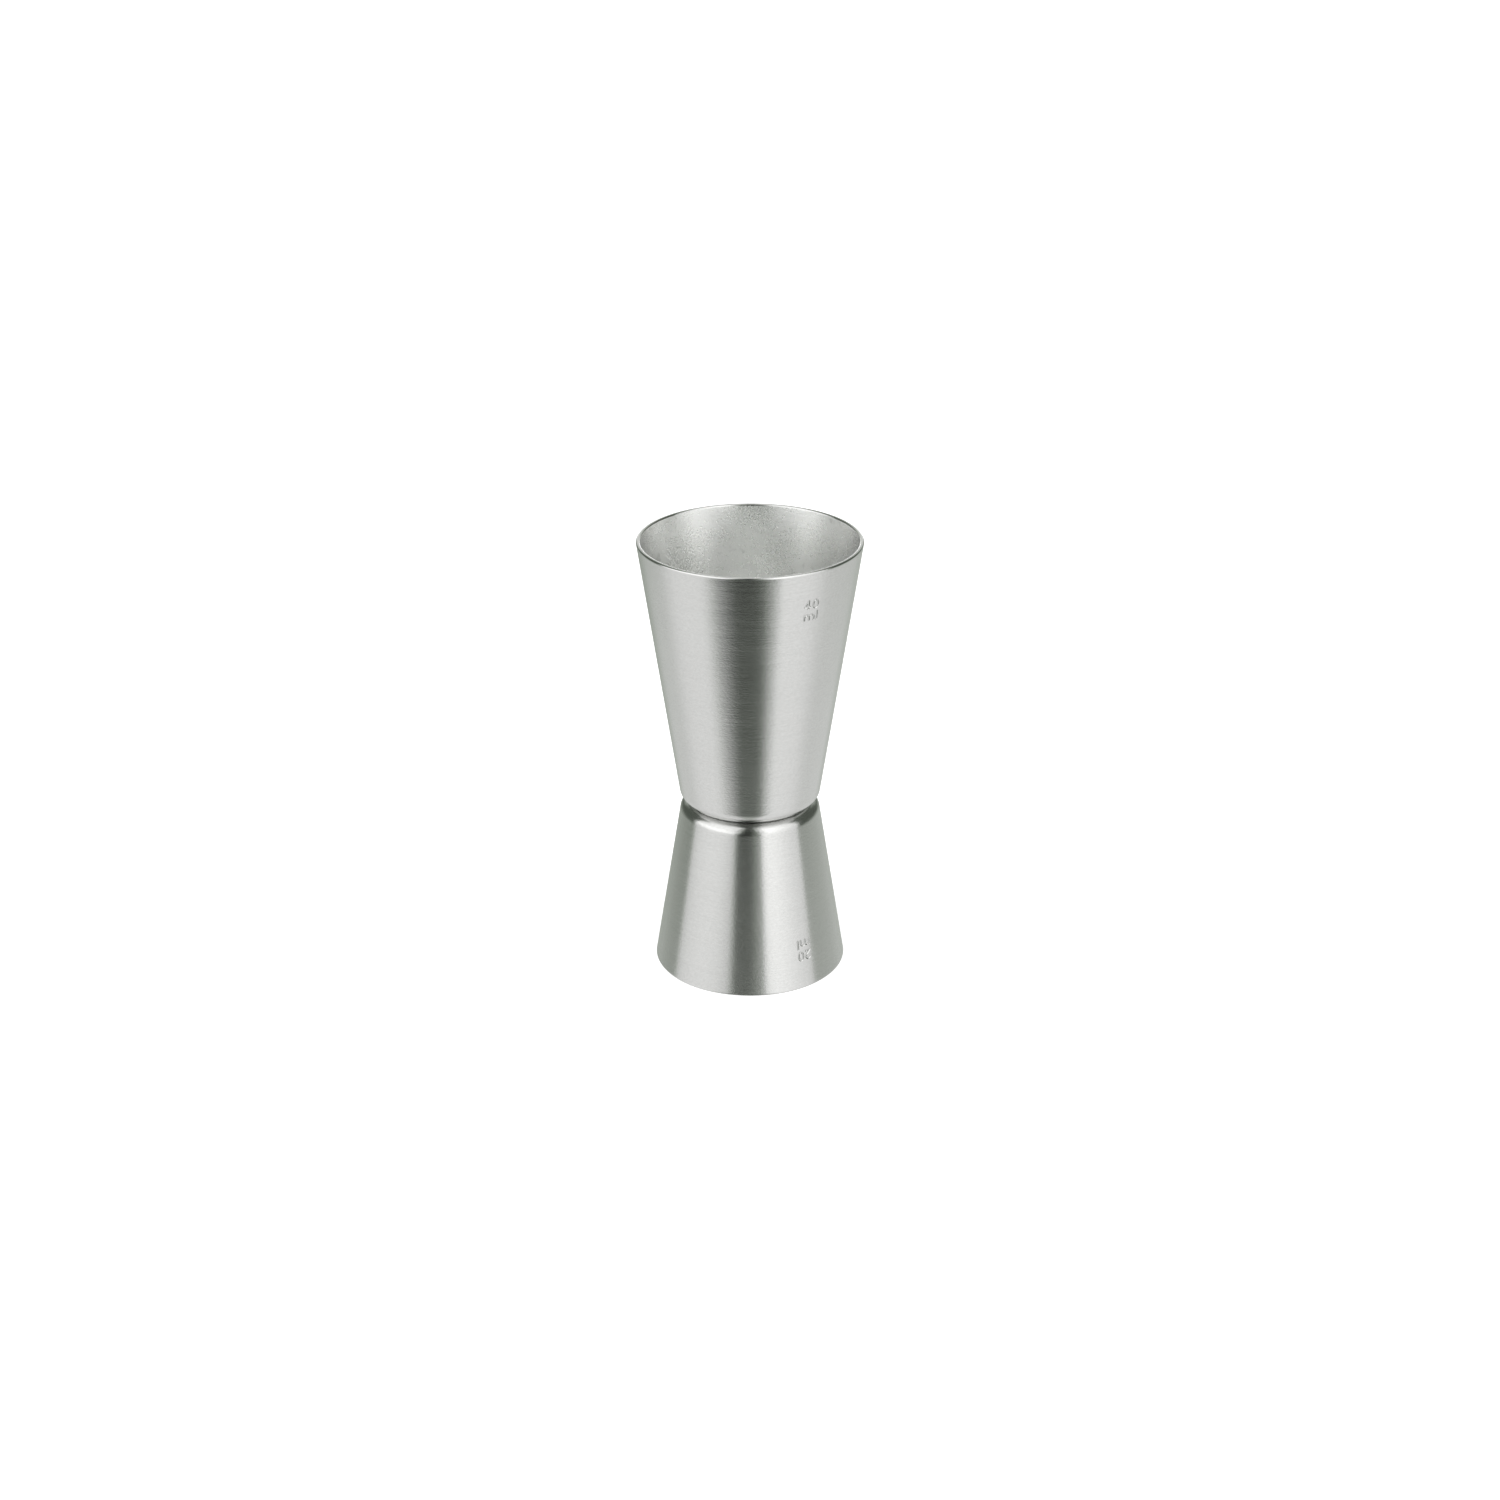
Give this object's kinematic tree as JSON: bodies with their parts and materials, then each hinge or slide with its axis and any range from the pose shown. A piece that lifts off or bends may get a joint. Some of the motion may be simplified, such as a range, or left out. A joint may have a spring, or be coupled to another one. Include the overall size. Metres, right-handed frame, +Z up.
{
  "type": "bar jigger",
  "caption": "Double-ended bar measure: a tall and a short tapered steel cup welded base to base, open at opposite ends, with an engraved capacity on each.",
  "frame": {"origin": "centre of the small cup's rim circle, in the plane that the jigger stands on", "axes": "+Z up along the common axis of both cups, from the small cup's rim to the large cup's rim; -Y is the front, and both capacity marks face between -Y and +X"},
  "size_m": [0.0416, 0.0416, 0.0853],
  "materials": {
    "cup_steel": "satin stainless steel, turned in fine rings outside, blasted matt inside, rims polished",
    "weld_steel": "dull, lightly heat-tinted steel of a spot weld, hidden between the bases"
  },
  "bodies": {
    "root": {"large_cup": "cup_steel", "small_cup": "cup_steel", "weld_nugget_1": "weld_steel", "weld_nugget_2": "weld_steel", "weld_nugget_3": "weld_steel"}
  },
  "joints": []
}
